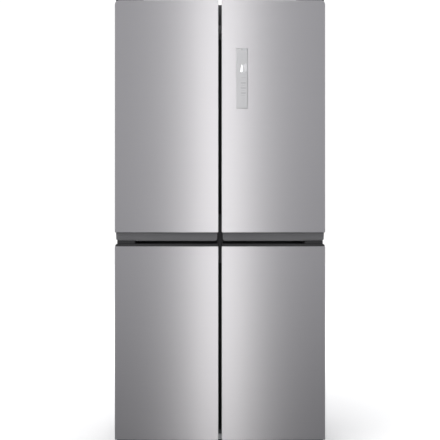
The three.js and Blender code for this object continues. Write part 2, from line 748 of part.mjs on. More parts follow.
addUpperDoor(-1, 'upper_left');
addUpperDoor(1, 'upper_right');
addLowerDoor(-1, 'lower_left');
addLowerDoor(1, 'lower_right');
addDisplay();
addShell();
addFrontFrame();
addFridgeLiner();
addFreezerLiner();
addBackPanel();
addMachineCover();
addBasePan();
addFeetAndRollers();
addPlinth();
addCompressor();
addCoils();
addAirDuct();
addShelves();
addDrawers();
addHinges();

export default group;
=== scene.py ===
"""A four-door french door refrigerator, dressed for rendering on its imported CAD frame.

+Z is up and the doors face -Y. Pieces are drawn in millimetres, and `as_object` turns them into metres.
Places and sizes come from the frame's nodes. Right-hand pieces are drawn at x > 0, and left-hand ones are
the same outline mirrored.
"""

import math

import bmesh
import bpy
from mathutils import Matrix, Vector


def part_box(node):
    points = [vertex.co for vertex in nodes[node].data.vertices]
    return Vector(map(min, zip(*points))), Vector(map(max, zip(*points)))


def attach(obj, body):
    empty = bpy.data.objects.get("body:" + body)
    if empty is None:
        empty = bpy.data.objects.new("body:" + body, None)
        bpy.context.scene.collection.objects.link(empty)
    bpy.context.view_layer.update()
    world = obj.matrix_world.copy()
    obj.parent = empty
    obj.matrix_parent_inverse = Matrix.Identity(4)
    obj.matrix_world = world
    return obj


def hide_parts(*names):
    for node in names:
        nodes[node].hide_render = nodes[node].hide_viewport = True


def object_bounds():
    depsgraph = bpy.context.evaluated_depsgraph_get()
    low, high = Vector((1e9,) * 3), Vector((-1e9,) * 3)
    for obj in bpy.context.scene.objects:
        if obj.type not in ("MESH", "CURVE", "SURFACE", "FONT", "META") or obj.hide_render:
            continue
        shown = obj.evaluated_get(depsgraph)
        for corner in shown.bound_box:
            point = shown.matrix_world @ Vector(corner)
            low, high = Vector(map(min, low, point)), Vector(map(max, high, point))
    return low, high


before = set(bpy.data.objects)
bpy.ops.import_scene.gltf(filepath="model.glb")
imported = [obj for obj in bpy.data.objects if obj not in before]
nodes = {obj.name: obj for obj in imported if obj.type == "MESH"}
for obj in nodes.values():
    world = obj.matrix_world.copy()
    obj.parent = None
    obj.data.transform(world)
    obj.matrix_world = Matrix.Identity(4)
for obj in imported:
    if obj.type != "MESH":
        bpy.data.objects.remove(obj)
cad_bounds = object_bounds()

MM = 0.001
SIDES = {"left": -1, "right": 1}

low_corner, high_corner = cad_bounds
half_width = high_corner[0] / MM
front_y = low_corner[1] / MM
CROWN = 5  # the doors' outer edges stand this far behind their inner ones
crown_radius = (half_width**2 + CROWN**2) / (2 * CROWN)


def crown(x):
    """How far the doors' front surface lies behind its foremost line, at x."""
    return crown_radius - math.sqrt(crown_radius**2 - x * x)


def box(node):
    """A CAD node's low and high corners, in millimetres."""
    return [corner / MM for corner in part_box(node)]


def right_box(node):
    """A door node's low and high corners, as drawn at x > 0."""
    low, high = box(node)
    if low.x < 0:
        low.x, high.x = -high.x, -low.x
    return low, high


# ---- materials ----


class Tree:
    """The node tree of a material or a world, with short calls for what both of them use."""

    def __init__(self, owner):
        owner.use_nodes = True
        self.tree = owner.node_tree

    def node(self, kind, **settings):
        made = self.tree.nodes.new(kind)
        for key, value in settings.items():
            setattr(made, key, value)
        return made

    def link(self, source, target):
        self.tree.links.new(source, target)

    def spread(self, source, low, high, from_low=0.0, from_high=1.0, shape="LINEAR"):
        """A value mapped from one range to another."""
        limits = {"From Min": from_low, "From Max": from_high, "To Min": low, "To Max": high}
        mapped = self.node("ShaderNodeMapRange", interpolation_type=shape)
        for socket, value in limits.items():
            mapped.inputs[socket].default_value = value
        self.link(source, mapped.inputs["Value"])
        return mapped.outputs["Result"]

    def ramp(self, source, stops):
        """A colour for a 0 to 1 value, from (value, colour) stops."""
        made = self.node("ShaderNodeValToRGB")
        elements = made.color_ramp.elements
        while len(elements) < len(stops):
            elements.new(0.5)
        for element, (position, colour) in zip(elements, stops):
            element.position = position
            element.color = (*colour, 1)
        self.link(source, made.inputs["Fac"])
        return made.outputs["Color"]


class Look(Tree):
    """A node material: its Principled shader, and the textures that drive it."""

    def __init__(self, name, **sockets):
        self.material = bpy.data.materials.new(name)
        super().__init__(self.material)
        self.shader = self.tree.nodes["Principled BSDF"]
        for socket, value in sockets.items():
            self.shader.inputs[socket.replace("_", " ")].default_value = value

    def place(self, stretch=(1, 1, 1)):
        """The piece's own coordinates, in metres, stretched."""
        where = self.node("ShaderNodeTexCoord")
        scaled = self.node("ShaderNodeMapping")
        scaled.inputs["Scale"].default_value = stretch
        self.link(where.outputs["Object"], scaled.inputs["Vector"])
        return scaled.outputs["Vector"]

    def noise(self, scale=1.0, stretch=(1, 1, 1), detail=2.0):
        texture = self.node("ShaderNodeTexNoise")
        texture.inputs["Scale"].default_value = scale
        texture.inputs["Detail"].default_value = detail
        self.link(self.place(stretch), texture.inputs["Vector"])
        return texture.outputs["Fac"]

    def tint(self, source, dark, light):
        """Drives the base colour between two colours."""
        self.link(self.ramp(source, [(0, dark), (1, light)]), self.shader.inputs["Base Color"])

    def roughen(self, source, low, high):
        self.link(self.spread(source, low, high), self.shader.inputs["Roughness"])

    def bump(self, source, height, strength):
        """Raises the surface by the source. height is in millimetres."""
        made = self.node("ShaderNodeBump")
        made.inputs["Distance"].default_value = height * MM
        made.inputs["Strength"].default_value = strength
        self.link(source, made.inputs["Height"])
        self.link(made.outputs["Normal"], self.shader.inputs["Normal"])


def brushed_steel():
    """Stainless sheet with a horizontal grain, so highlights stretch upwards."""
    look = Look("brushed_steel", Metallic=1.0, Anisotropic=0.6, Anisotropic_Rotation=0.25)
    tangent = look.node("ShaderNodeTangent", direction_type="RADIAL", axis="Z")
    look.link(tangent.outputs["Tangent"], look.shader.inputs["Tangent"])
    fine = look.noise(stretch=(7, 7, 1500), detail=3)
    coarse = look.noise(stretch=(1.6, 1.6, 260))
    mixed = look.node("ShaderNodeMix", data_type="FLOAT")
    mixed.inputs["Factor"].default_value = 0.35
    look.link(fine, mixed.inputs["A"])
    look.link(coarse, mixed.inputs["B"])
    grain = mixed.outputs["Result"]
    look.tint(grain, (0.59, 0.583, 0.6), (0.62, 0.612, 0.63))
    look.roughen(grain, 0.27, 0.30)
    look.bump(grain, 0.004, 0.05)
    return look.material


def moulded(name, dark, light, roughness, grain=1800, height=0.02, specular=0.5):
    """Moulded plastic with a fine even texture."""
    look = Look(name, Specular_IOR_Level=specular)
    texture = look.noise(grain)
    look.tint(look.noise(14, detail=4), dark, light)
    look.roughen(texture, roughness - 0.05, roughness + 0.05)
    look.bump(texture, height, 0.5)
    return look.material


def stippled_paint():
    """Grey coated steel with the shallow pebbled texture of a refrigerator's sides."""
    look = Look("cabinet_paint", Coat_Weight=0.15, Coat_Roughness=0.3)
    pebbles = look.noise(420, detail=1)
    look.tint(look.noise(6, detail=3), (0.20, 0.201, 0.206), (0.225, 0.226, 0.231))
    look.roughen(pebbles, 0.38, 0.5)
    look.bump(pebbles, 0.12, 0.6)
    return look.material


def galvanised():
    """Zinc-coated sheet with faint crystals."""
    look = Look("galvanised", Metallic=0.9)
    crystals = look.node("ShaderNodeTexVoronoi", feature="F1")
    crystals.inputs["Scale"].default_value = 70
    look.link(look.place(), crystals.inputs["Vector"])
    grey = look.node("ShaderNodeRGBToBW")
    look.link(crystals.outputs["Color"], grey.inputs["Color"])
    look.tint(grey.outputs["Val"], (0.42, 0.43, 0.44), (0.58, 0.59, 0.60))
    look.roughen(grey.outputs["Val"], 0.38, 0.55)
    return look.material


def clear(name, dark, light, roughness, transmission, ior, cloud=9, grain=300):
    """Clear plastic or glass. cloud and grain are the scales of its colour's and its roughness's noise."""
    look = Look(name, Transmission_Weight=transmission, IOR=ior)
    look.tint(look.noise(cloud), dark, light)
    look.roughen(look.noise(grain), *roughness)
    return look.material


def display_film():
    """The touch display's silvery plate: smooth, so it doesn't share the sheet's grain."""
    look = Look("display_film", Metallic=1.0, Coat_Weight=0.5, Coat_Roughness=0.08)
    look.tint(look.noise(30, detail=3), (0.60, 0.605, 0.615), (0.63, 0.632, 0.64))
    look.roughen(look.noise(900), 0.32, 0.38)
    return look.material


def painted(name, dark, light, roughness, metallic=0.0, specular=0.5):
    look = Look(name, Metallic=metallic, Specular_IOR_Level=specular)
    look.tint(look.noise(60, detail=4), dark, light)
    look.roughen(look.noise(500, detail=3), roughness - 0.06, roughness + 0.06)
    look.bump(look.noise(900), 0.01, 0.4)
    return look.material


def lit(name, colour, strength):
    """A lens or a mark that glows a little."""
    look = Look(name, Emission_Strength=strength)
    look.shader.inputs["Emission Color"].default_value = (*colour, 1)
    look.tint(look.noise(80), tuple(0.94 * c for c in colour), colour)
    look.roughen(look.noise(400), 0.25, 0.35)
    return look.material


LOOKS = {
    "steel": brushed_steel(),
    "band": moulded("grip_band", (0.076, 0.076, 0.08), (0.088, 0.088, 0.092), 0.5),
    "lip": moulded("grip_lip", (0.017, 0.017, 0.018), (0.021, 0.021, 0.022), 0.6, specular=0.25),
    # darker than the frame's own dark grey: painted shade, so the frame looks as dark as it does deep in the
    # door gaps
    "frame": moulded("frame_plastic_painted_shade", (0.04, 0.04, 0.043), (0.05, 0.05, 0.053), 0.5),
    "black": moulded("black_plastic", (0.012, 0.012, 0.014), (0.02, 0.02, 0.022), 0.42),
    "liner": moulded("liner_plastic", (0.8, 0.81, 0.82), (0.84, 0.85, 0.86), 0.3, grain=700, height=0.01),
    "gasket": moulded("gasket_rubber", (0.1, 0.1, 0.105), (0.14, 0.14, 0.145), 0.7, grain=2500),
    "foot": moulded("foot_plastic", (0.014, 0.014, 0.015), (0.028, 0.028, 0.03), 0.55),
    "paint": stippled_paint(),
    "zinc": galvanised(),
    "clear": clear("clear_plastic", (0.93, 0.955, 0.965), (0.96, 0.975, 0.98), (0.04, 0.1), 0.92, 1.47),
    "frosted": clear("frosted_plastic", (0.88, 0.92, 0.94), (0.92, 0.95, 0.965), (0.28, 0.36), 0.75, 1.47,
                     grain=900),
    "glass": clear("shelf_glass", (0.86, 0.94, 0.91), (0.9, 0.96, 0.94), (0.01, 0.04), 1.0, 1.5,
                   cloud=5, grain=40),
    # near black: painted shade, for the strips deep in the gaps between the doors
    "shadow_paint": moulded("painted_gap_shade", (0.003, 0.003, 0.0035), (0.005, 0.005, 0.0055), 0.6),
    "guide": moulded("post_guide", (0.14, 0.14, 0.145), (0.17, 0.17, 0.175), 0.5),
    "display": display_film(),
    "hinge": painted("hinge_steel", (0.014, 0.014, 0.015), (0.02, 0.02, 0.021), 0.6, specular=0.3),
    "bolt": painted("bolt_steel", (0.42, 0.42, 0.43), (0.5, 0.5, 0.51), 0.35, metallic=1.0),
    "compressor": painted("compressor_paint", (0.01, 0.01, 0.012), (0.02, 0.02, 0.022), 0.3),
    "tube": painted("tube_paint", (0.02, 0.02, 0.02), (0.05, 0.045, 0.04), 0.45),
    "fins": painted("fin_aluminium", (0.55, 0.57, 0.59), (0.66, 0.68, 0.7), 0.35, metallic=1.0),
    "lamp": lit("lamp_lens", (0.95, 0.97, 1.0), 0.6),
    "glow": lit("display_glow", (0.97, 0.98, 1.0), 0.55),
    "dim": moulded("display_window", (0.37, 0.37, 0.38), (0.4, 0.4, 0.41), 0.4),
    "ink": moulded("display_ink", (0.26, 0.26, 0.27), (0.3, 0.3, 0.31), 0.4),
}


# ---- mesh tools ----

SHARP = 35  # the turn, in degrees, from which an edge counts as sharp
AXIS = 0.01  # the radius of a turned piece's closed end


def shade(mesh, angle=SHARP):
    """Smooth faces, with sharp edges where the surface turns by more than the angle."""
    bm = bmesh.new()
    bm.from_mesh(mesh)
    limit = math.radians(angle)
    for face in bm.faces:
        face.smooth = True
    for edge in bm.edges:
        edge.smooth = edge.calc_face_angle(0.0) < limit
    bm.to_mesh(mesh)
    bm.free()


def as_object(name, bm):
    """A bmesh drawn in millimetres, as an object in metres."""
    bmesh.ops.scale(bm, vec=(MM, MM, MM), verts=bm.verts)
    mesh = bpy.data.meshes.new(name)
    bm.to_mesh(mesh)
    bm.free()
    made = bpy.data.objects.new(name, mesh)
    bpy.context.scene.collection.objects.link(made)
    return made


def piece(name, bm, look, stands_for=(), body="cabinet", angle=SHARP):
    """One visible piece of the refrigerator, which stands for CAD nodes and rides on a body."""
    bmesh.ops.remove_doubles(bm, verts=bm.verts, dist=0.001)
    bmesh.ops.recalc_face_normals(bm, faces=bm.faces)
    made = as_object(name, bm)
    shade(made.data, angle)
    made.data.materials.append(LOOKS[look])
    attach(made, body)
    if stands_for:
        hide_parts(*stands_for)
    return made


def even_normals(made):
    """Lets a piece's broad faces decide the shading of its corners."""
    normals = made.modifiers.new("even_normals", "WEIGHTED_NORMAL")
    normals.keep_sharp = True


def soften(made, width, segments=2):
    """Rounds a piece's sharp edges a little."""
    bevel = made.modifiers.new("soft_edges", "BEVEL")
    bevel.width = width * MM
    bevel.segments = segments
    bevel.limit_method = "ANGLE"
    bevel.angle_limit = math.radians(SHARP)
    even_normals(made)


def dress(node, look, width=0.6, segments=2):
    """A CAD node that keeps its shape gets its material and softer edges."""
    made = nodes[node]
    made.data.materials.clear()
    made.data.materials.append(LOOKS[look])
    for polygon in made.data.polygons:
        polygon.material_index = 0
    if width:
        soften(made, width, segments)


def ring_faces(bm, first, second):
    """Quads between two rings of vertices of the same length."""
    for i in range(len(first)):
        j = (i + 1) % len(first)
        bm.faces.new((first[i], first[j], second[j], second[i]))


def loft(rings, closed=False, end=True):
    """A bmesh through rings of points. A closed one joins the last ring to the first. Others have their
    first ring capped, and their last one too unless end is False."""
    bm = bmesh.new()
    made = [[bm.verts.new(p) for p in ring] for ring in rings]
    for first, second in zip(made, made[1:]):
        ring_faces(bm, first, second)
    if closed:
        ring_faces(bm, made[-1], made[0])
    else:
        bm.faces.new(made[0])
        if end:
            bm.faces.new(made[-1])
    return bm


def rounded(x0, x1, z0, z1, radii, inset=(0, 0), steps=6):
    """A rounded rectangle's points. radii are for the lower left, lower right, upper right and upper left
    corners, and inset draws the outline in without moving the corners' centres."""
    dx, dz = inset
    least = 0.02  # keeps a corner from shrinking to a point
    if isinstance(radii, (int, float)):
        radii = (radii,) * 4
    corners = ((x0, z0, 1, 1), (x1, z0, -1, 1), (x1, z1, -1, -1), (x0, z1, 1, -1))
    points = []
    for turn, ((x, z, sx, sz), radius) in enumerate(zip(corners, radii)):
        centre = (x + sx * radius, z + sz * radius)
        rx = max(radius - dx, least)
        rz = max(radius - dz, least)
        for step in range(steps + 1):
            angle = math.pi * (1 + turn / 2) + math.pi / 2 * step / steps
            points.append((centre[0] + rx * math.cos(angle), centre[1] + rz * math.sin(angle)))
    return points


def at_y(outline, y):
    """An [x, z] outline's points, upright at y."""
    return [(x, y, z) for x, z in outline]


def upright(y, low, high, inset, radius, steps=6):
    """A rounded rectangle upright at y, drawn in from the box between two corners."""
    outline = rounded(low.x + inset, high.x - inset, low.z + inset, high.z - inset, radius, steps=steps)
    return at_y(outline, y)


def mirrored(bm, side):
    if side < 0:
        for vertex in bm.verts:
            vertex.co.x = -vertex.co.x
    return bm


def lathe(profile, centre, axis="z", steps=32, closed=False):
    """A turned bmesh. profile holds (radius, height) pairs from one end of the axis to the other, or
    goes round a ring's section when closed."""
    order = {"x": (2, 0, 1), "y": (0, 2, 1), "z": (0, 1, 2)}[axis]
    rings = []
    for radius, height in profile:
        radius = max(radius, AXIS)
        ring = []
        for i in range(steps):
            a = 2 * math.pi * i / steps
            offset = (radius * math.cos(a), radius * math.sin(a), height)
            ring.append([c + offset[k] for c, k in zip(centre, order)])
        rings.append(ring)
    return loft(rings, closed)


def carve(made, bm):
    """Cuts a bmesh out of a piece, for good."""
    bmesh.ops.recalc_face_normals(bm, faces=bm.faces)
    cutter = as_object("cutter", bm)
    cut = made.modifiers.new("cut", "BOOLEAN")
    cut.solver = "EXACT"
    cut.object = cutter
    bpy.context.view_layer.update()
    graph = bpy.context.evaluated_depsgraph_get()
    result = bpy.data.meshes.new_from_object(made.evaluated_get(graph))
    made.modifiers.remove(cut)
    spent = (made.data, cutter.data)
    made.data = result
    result.name = made.name
    bpy.data.objects.remove(cutter)
    for mesh in spent:
        bpy.data.meshes.remove(mesh)
    shade(made.data)


def outline_block(points, y0, y1):
    """A flat bmesh: an [x, z] outline from y0 to y1."""
    return loft([at_y(points, y0), at_y(points, y1)])


def soft_box(low, high, axis="z", radius=2, edge=0.6, steps=4):
    """A block with corners rounded about one axis and eased rims at its two ends."""
    u, v, w = {"x": (1, 2, 0), "y": (0, 2, 1), "z": (0, 1, 2)}[axis]
    radius = min(radius, (high[u] - low[u]) / 2.01, (high[v] - low[v]) / 2.01)

    def ring(inset, height):
        outline = rounded(low[u] + inset, high[u] - inset, low[v] + inset, high[v] - inset,
                          max(radius - inset, 0.05), steps=steps)
        made = []
        for a, b in outline:
            point = [0, 0, 0]
            point[u], point[v], point[w] = a, b, height
            made.append(point)
        return made

    eased = [(edge, 0), (0.3 * edge, 0.3 * edge), (0, edge)]
    rings = [ring(inset, low[w] + rise) for inset, rise in eased]
    rings += [ring(inset, high[w] - rise) for inset, rise in reversed(eased)]
    return loft(rings)


def together(first, *others):
    """Several bmeshes as one."""
    for other in others:
        mesh = bpy.data.meshes.new("part")
        other.to_mesh(mesh)
        other.free()
        first.from_mesh(mesh)
        bpy.data.meshes.remove(mesh)
    return first


def tube(points, radius, steps=12, up=(0, 1, 0)):
    """A round bar along a path."""
    points = [Vector(p) for p in points]
    up = Vector(up)
    rings = []
    for i, point in enumerate(points):
        along = (points[min(i + 1, len(points) - 1)] - points[max(i - 1, 0)]).normalized()
        out = along.cross(up).normalized()
        up = out.cross(along)
        ring = []
        for k in range(steps):
            a = 2 * math.pi * k / steps
            ring.append(point + radius * (math.cos(a) * out + math.sin(a) * up))
        rings.append(ring)
    return loft(rings)


def screw_head(centre, direction, radius):
    """A domed screw head with a socket, facing along x, y or z. direction is like "+z"."""
    sign = 1 if direction[0] == "+" else -1
    h = 0.55 * radius
    profile = [(0, 0), (radius, 0), (radius, 0.3 * h), (0.8 * radius, 0.8 * h), (0.42 * radius, h),
               (0.4 * radius, 0.4 * h), (0, 0.4 * h)]
    return lathe([(r, sign * z) for r, z in profile], centre, direction[1], steps=16)


def follow_crown(bm):
    """Slices a bmesh into upright strips and sets them back along the doors' crown."""
    strip = 30  # narrow enough for the front to look curved
    xs = [v.co.x for v in bm.verts]
    x = math.ceil(min(xs) / strip) * strip
    while x < max(xs):
        geometry = [*bm.verts, *bm.edges, *bm.faces]
        bmesh.ops.bisect_plane(bm, geom=geometry, plane_co=(x, 0, 0), plane_no=(1, 0, 0), dist=0.01)
        x += strip
    for vertex in bm.verts:
        vertex.co.y += crown(vertex.co.x)
    return bm


# ---- doors ----

EDGE_X = 1.0  # rounding of a skin's upright edges
EDGE_Z = 1.1  # rounding of its top and bottom edges
SQUARE = 3.6  # radius of a skin's nearly square corners
FLANGE = 5  # how far the sheet runs back over the plastic caps
LIP = 12  # the folded lips at the back
SHEET = 0.8


def skin_mesh(low, high, corner):
    """A door's steel pan: a front with rounded edges, its side walls, and the lips folded in behind."""
    radii = (SQUARE, SQUARE, corner, SQUARE)
    flange_y = front_y + EDGE_X + FLANGE
    back_y = high.y - CROWN

    def ring(y, share=0.0):
        """The outline at y, drawn in by a share of the edges' rounding."""
        return at_y(rounded(low.x, high.x, low.z, high.z, radii, (EDGE_X * share, EDGE_Z * share)), y)

    def at_end(face):
        """Whether a face belongs to the pan's top or bottom wall."""
        rise = abs(face.calc_center_median().z - (low.z + high.z) / 2)
        return abs(face.normal.z) > 0.99 or rise > (high.z - low.z) / 2 - 0.1

    rings = []
    turns = 6
    for i in range(turns, -1, -1):
        a = math.pi / 2 * i / turns
        rings.append(ring(front_y + EDGE_X * (1 - math.sin(a)), 1 - math.cos(a)))
    rings += [ring(flange_y), ring(back_y), upright(back_y, low, high, LIP, 6)]
    bm = loft(rings, end=False)
    opened = [f for f in bm.faces if at_end(f) and min(v.co.y for v in f.verts) > flange_y - FLANGE / 2]
    bmesh.ops.delete(bm, geom=opened, context="FACES")
    return bm


def door_skin(name, body, side, corner):
    low, high = right_box(name)
    bm = follow_crown(skin_mesh(low, high, corner))
    made = piece(name + "_pan", mirrored(bm, side), "steel", [name], body)
    if name == "upper_right_skin":
        carve(made, display_opening())
    sheet = made.modifiers.new("sheet", "SOLIDIFY")
    sheet.thickness = SHEET * MM
    sheet.offset = -1
    even_normals(made)


def display_outline(grow=0.0):
    low, high = box("display_panel")
    return rounded(low.x - grow, high.x + grow, low.z - grow, high.z + grow, 2.5 + grow, steps=4)


def display_opening():
    return outline_block(display_outline(0.5), front_y - 5, front_y + 20)


BAND_TOP = 4  # how far the upper grip band starts behind the steel's front
BAND_CORNER = 9
TRIM_ENDS = [0, 0.4, 1, 2, 3.5, 5.5, 8, 10]  # millimetres from a trim's end, close together where it curves
PIECES_ALONG = 12


def trim_stations(x0, x1):
    """The x of a grip trim's cross-sections."""
    reach = TRIM_ENDS[-1]
    xs = [x0 + e for e in TRIM_ENDS]
    xs += [x0 + reach + (x1 - x0 - 2 * reach) * i / PIECES_ALONG for i in range(1, PIECES_ALONG)]
    return xs + [x1 - e for e in reversed(TRIM_ENDS)]


def corner_drop(to_end, radius):
    """How far a rounded corner's edge has turned away, at a distance from the trim's end."""
    reach = max(radius - to_end, 0.0)
    return radius - math.sqrt(max(radius**2 - reach**2, 0.0))


def flat_pocket(x0, x1, y0, y1, z0, z1, radius):
    """A cutter for a finger pocket, rounded as seen from above."""
    outline = rounded(x0, x1, y0, y1, radius, steps=4)
    return loft([[(x, y, z) for x, y in outline] for z in (z0, z1)])


def upper_grip(door, side):
    """The band under an upper door, which curves back and down to the finger pocket's rim."""
    node = f"{door}_grip_trim"
    low, high = right_box(node)
    run, bend_run, bend_drop = 13, 10.5, 11
    lip_round = 1.5
    height = high.z - low.z - lip_round

    def section(x):
        rise = corner_drop(min(x - low.x, high.x - x), BAND_CORNER)
        share = (height - rise) / height
        y = front_y + BAND_TOP + crown(x)
        points = [(x, high.y, high.z), (x, y, high.z)]
        for i in range(1, 8):
            t = i / 7
            back = 2 * t * (1 - t) * bend_run + t * t * run
            down = 2 * t * (1 - t) * bend_drop + t * t * height
            points.append((x, y + back * share, high.z - down * share))
        foot = high.z - height * share - lip_round
        return points + [(x, y + run * share + lip_round, foot), (x, high.y, foot)]

    bm = loft([section(x) for x in trim_stations(low.x, high.x)])
    made = piece(f"{door}_grip_band", mirrored(bm, side), "band", [node], f"{door}_door", 30)
    pocket = flat_pocket(low.x + 14, high.x - 46, front_y + 41, front_y + 63, low.z - 2, high.z - 4, 6)
    carve(made, mirrored(pocket, side))
    soften(made, 0.4)


def lower_grip(door, side):
    """The rounded lip on top of a lower door, with the finger trough behind it."""
    node = f"{door}_grip_trim"
    low, high = right_box(node)
    seam = box(f"{door}_skin")[1].z + 0.3
    lean = 6.5

    def section(x):
        crest = high.z - corner_drop(high.x - x, BAND_CORNER)
        y = front_y + 1.6 + crown(x)
        inside = y + 5  # behind the skin's front
        points = [(x, high.y, crest), (x, high.y, low.z), (x, inside, low.z), (x, inside, seam)]
        for i in range(7):
            a = math.pi / 2 * i / 6
            points.append((x, y + lean * (1 - math.cos(a)), seam + (crest - seam) * math.sin(a)))
        return points

    bm = loft([section(x) for x in trim_stations(low.x, high.x)])
    made = piece(f"{door}_grip_lip", mirrored(bm, side), "lip", [node], f"{door}_door", 30)
    trough = flat_pocket(low.x + 17, high.x - 49, front_y + 16, front_y + 58, high.z - 30, high.z + 2, 7)
    carve(made, mirrored(trough, side))
    soften(made, 0.4)


RIDGE_X = (48, 338)  # the ridge on a door's inner panel
RIDGE_WIDTH = 16
RIDGE_INSETS = {"upper": (36, 58), "lower": (82, 40)}  # from the panel's bottom and top


def bin_knobs(door, flange_y):
    """The moulded bosses between the ridge and the bins, which the bins hang on."""
    bosses = []
    ridge_low, ridge_high = RIDGE_X[0] + RIDGE_WIDTH - 1, RIDGE_X[1] - RIDGE_WIDTH + 1
    for level in ("low", "mid", "high"):
        low, high = right_box(f"{door}_bin_{level}")
        middle = (low.z + high.z) / 2
        for near, far in ((ridge_low, low.x), (high.x, ridge_high)):
            bosses.append(soft_box((near, flange_y - 0.5, middle - 22), (far, flange_y + 26, middle + 22),
                                   "x", 5, 0.4))
    return bosses


def inner_panel(door, side):
    """A door's vacuum-formed inner panel: a flange, a rounded ridge all round, and a flat field."""
    node = f"{door}_liner"
    row = door.split("_")[0]
    low, high = right_box(node)
    flange_y = box(f"{door}_gasket")[0].y - 0.3
    crest_y = high.y
    below, above = RIDGE_INSETS[row]
    ridge_low = Vector((RIDGE_X[0], 0, low.z + below))
    ridge_high = Vector((RIDGE_X[1], 0, high.z - above))
    edges = [(low.y, 0), (flange_y - 0.5, 0), (flange_y, 0.5)]  # y and inset
    ridge = [
        (flange_y, -1.2, 15),
        (flange_y + 1.2, 0, 14),
        (crest_y - 4, 0.8, 14),
        (crest_y - 1.4, 1.8, 13),
        (crest_y, 4.5, 11),
        (crest_y, 11.5, 8),
        (crest_y - 1.4, 14.2, 6.5),
        (crest_y - 4, 15.2, 6),
        (flange_y + 3, 16, 6),
        (flange_y, 19, 5),
    ]  # y, inset and corner radius
    rings = [upright(y, low, high, inset, 6) for y, inset in edges]
    rings += [upright(y, ridge_low, ridge_high, inset, radius) for y, inset, radius in ridge]
    bm = loft(rings)
    if row == "upper":
        bm = together(bm, *bin_knobs(door, flange_y))
    piece(f"{door}_inner_panel", mirrored(bm, side), "liner", [node], f"{door}_door", 50)


def magnetic_gasket(door, side):
    """A soft hollow seal: a bellows between its magnet strip and its root."""
    node = f"{door}_gasket"
    low, high = right_box(node)
    section = [
        (3, 0), (15, 0), (15.6, 0.18), (13.6, 0.34), (16.4, 0.55), (17, 0.8), (16, 1.0),
        (2, 1.0), (1, 0.8), (1.6, 0.55), (4.4, 0.34), (2.4, 0.18),
    ]  # how far in from the seal's outer edge, and the share of its depth
    rings = []
    for inset, share in section:
        y = low.y + (high.y - low.y) * share
        rings.append(upright(y, low, high, inset, max(8 - inset * 0.3, 2)))
    bm = loft(rings, closed=True)
    piece(f"{door}_seal", mirrored(bm, side), "gasket", [node], f"{door}_door", 50)


def tray(low, high, wall, corner, draft, rim, floor_round=4):
    """An open container with real wall thickness, a rounded floor edge and a rolled rim. draft is how far
    its walls lean in towards the floor."""

    def ring(inset, z):
        inset += draft * (high.z - z) / (high.z - low.z)
        radius = max(corner - inset, 1)
        outline = rounded(low.x + inset, high.x - inset, low.y + inset, high.y - inset, radius, steps=5)
        return [(x, y, z) for x, y in outline]

    lip = min(rim, 0.9)
    inner = rim + wall
    eased = 0.3 * floor_round
    floor = low.z + wall
    top = high.z
    return loft([
        ring(rim + floor_round, low.z),
        ring(rim + eased, low.z + eased),
        ring(rim, low.z + floor_round),
        ring(rim, top - 7),
        ring(lip, top - 6),
        ring(0, top - 5),
        ring(0, top - 0.8),
        ring(0.8, top),
        ring(inner - 0.8, top),
        ring(inner, top - 0.8),
        ring(inner, floor + floor_round),
        ring(inner + eased, floor + eased),
        ring(inner + floor_round, floor),
    ])


def door_bin(node, body):
    """A clear bin with a white strip along its front rim."""
    low, high = box(node)
    bm = tray(low, high, wall=2.2, corner=14, draft=2, rim=2)
    piece(node + "_tray", bm, "clear", [node], body, angle=40)
    strip = soft_box((low.x + 13, high.y - 0.1, high.z - 22), (high.x - 13, high.y + 1.8, high.z - 1),
                     "y", 4, 0.7)
    piece(node + "_strip", strip, "liner", body=body)


def common_parts(door, side, corner, cap, grip):
    """What both rows of doors have: a steel skin, an end cap, a grip, an inner panel and a seal."""
    door_skin(f"{door}_skin", f"{door}_door", side, corner)
    dress(f"{door}_{cap}", "black", 0.8)
    grip(door, side)
    inner_panel(door, side)
    magnetic_gasket(door, side)


def upper_door(door, side):
    common_parts(door, side, 17, "top_cap", upper_grip)
    for level in ("low", "mid", "high"):
        door_bin(f"{door}_bin_{level}", f"{door}_door")


def lower_door(door, side):
    common_parts(door, side, SQUARE, "bottom_cap", lower_grip)


def display():
    """The touch display: a smooth plate with a lit lamp, a soft window and three touch marks."""
    low, high = box("display_panel")
    body = "upper_right_door"
    edge_y = front_y + crown(low.x) + 0.45
    face = edge_y - 0.35
    marks_y = (face - 0.05, face + 0.1)
    inner = rounded(low.x + 1.1, high.x - 2.6, low.z + 1.6, high.z - 1.6, 1.6, steps=4)
    bm = loft([at_y(inner, face), at_y(display_outline(), edge_y), at_y(display_outline(), edge_y + 4)])
    piece("display_plate", bm, "display", ["display_panel"], body, angle=4)

    def printed(name, look, bars):
        """Flat marks that stand a hair proud of the plate. A bar is its x range and its z range."""
        blocks = [soft_box((x0, marks_y[0], z0), (x1, marks_y[1], z1), "y", 0.3, 0.02, steps=2)
                  for x0, x1, z0, z1 in bars]
        piece(name, together(*blocks), look, body=body)

    lamp_x, lamp_z = low.x + 22.5, low.z + 137
    lamp_top = lamp_z + 27
    wedge = [(lamp_x - 7, lamp_z), (lamp_x, lamp_z), (lamp_x - 0.4, lamp_top), (lamp_x - 2.2, lamp_top)]
    piece("display_lamp", outline_block(wedge, *marks_y), "glow", body=body)
    printed("display_window", "dim", [(lamp_x + 5, lamp_x + 16, lamp_z - 2, lamp_z + 29)])
    left, right = low.x + 17, high.x - 1
    printed("display_upper_rim", "dim", [(left, right, high.z - 3.4, high.z - 0.8)])
    marks = [(left, right, high.z - 6.6, high.z - 4.4)]
    for i in range(3):
        z = lamp_z - 42.6 - 18.9 * i
        marks += [(left, left + 19, z, z + 2.2), (left + 1, left + 17, z - 8, z - 7.4)]
    for down, thick in ((8, 0.6), (22, 0.7)):
        marks.append((left + 3, left + 19, lamp_z - down, lamp_z - down + thick))
    printed("display_touch_marks", "ink", marks)


# ---- cabinet ----

